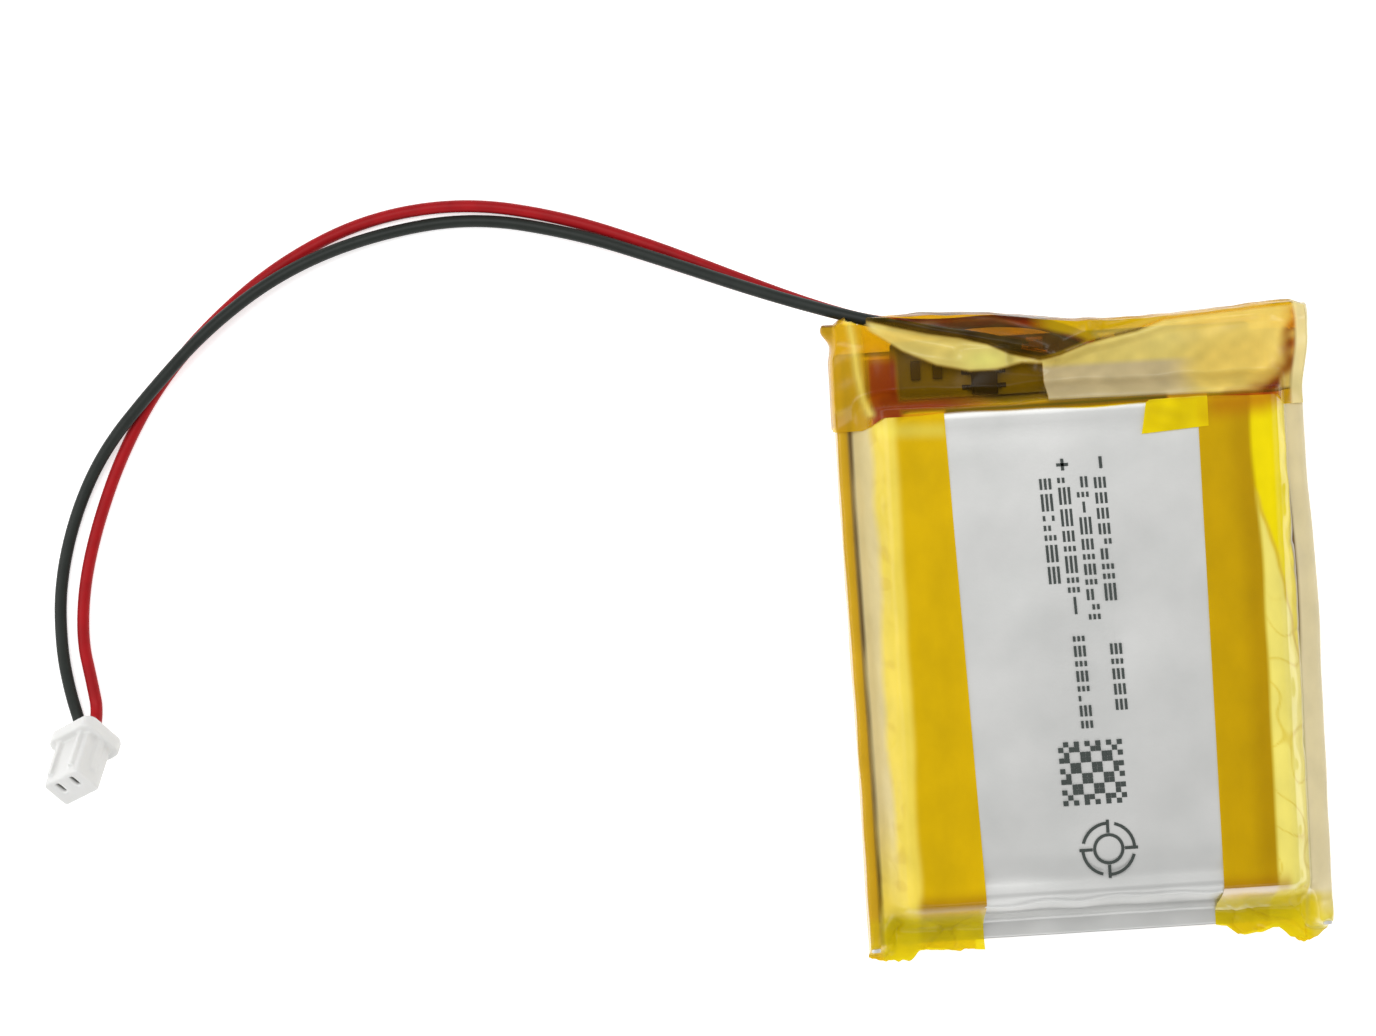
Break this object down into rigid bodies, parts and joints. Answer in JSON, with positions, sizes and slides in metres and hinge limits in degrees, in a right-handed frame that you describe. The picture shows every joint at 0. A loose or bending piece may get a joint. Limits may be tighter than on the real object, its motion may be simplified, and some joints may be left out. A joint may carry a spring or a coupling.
{
  "type": "lithium polymer battery pack",
  "caption": "Flat foil pouch cell, taped along its edges, with a protection board at one end and a pair of leads to a small white plug.",
  "frame": {"origin": "middle of the wrapped pack's underside, without the leads and plug", "axes": "+Z out of the pack's face, through its thickness; +Y along the pack towards the protection board; +X across it"},
  "size_m": [0.0825, 0.0513, 0.01],
  "materials": {
    "pouch_foil": "satin laminate, lightly crinkled",
    "cathode": "matt dark coating on foil",
    "anode": "matt graphite coating on foil",
    "separator": "matt film",
    "inner_tape": "green film tape",
    "aluminium_tab": "plain",
    "nickel": "plain nickel",
    "tab_film": "translucent film",
    "insulating_paper": "fish paper",
    "circuit_board": "solder mask over glass board",
    "chip_body": "matt moulding",
    "resistor": "glazed top, tinned ends",
    "capacitor": "tan body, tinned ends",
    "red_insulation": "satin",
    "black_insulation": "satin",
    "tinned_copper": "tinned strands",
    "solder": "bright solder",
    "contact_metal": "tinned phosphor bronze",
    "plug_nylon": "natural nylon",
    "amber_tape": "clear amber film"
  },
  "bodies": {
    "root": {"anode_winding": "anode", "back_pouch_half": "pouch_foil", "black_crimp_contact": "contact_metal", "black_lead": "black_insulation", "black_lead_end": "tinned_copper", "black_solder_joint": "solder", "cathode_winding": "cathode", "circuit_board": "circuit_board", "face_tape_tab": "amber_tape", "filter_capacitor": "capacitor", "front_pouch_half": "pouch_foil", "insulating_paper": "insulating_paper", "left_edge_tape": "amber_tape", "negative_tab": "nickel", "negative_tab_film": "tab_film", "negative_weld_pad": "nickel", "plug_housing": "plug_nylon", "positive_tab": "aluminium_tab", "positive_tab_film": "tab_film", "positive_weld_pad": "nickel", "protection_chip": "chip_body", "red_crimp_contact": "contact_metal", "red_lead": "red_insulation", "red_lead_end": "tinned_copper", "red_solder_joint": "solder", "right_edge_tape": "amber_tape", "sense_resistor": "resistor", "separator_winding": "separator", "supply_resistor": "resistor", "switch_transistor": "chip_body", "top_end_tape": "amber_tape", "winding_end_tape": "inner_tape"}
  },
  "joints": []
}
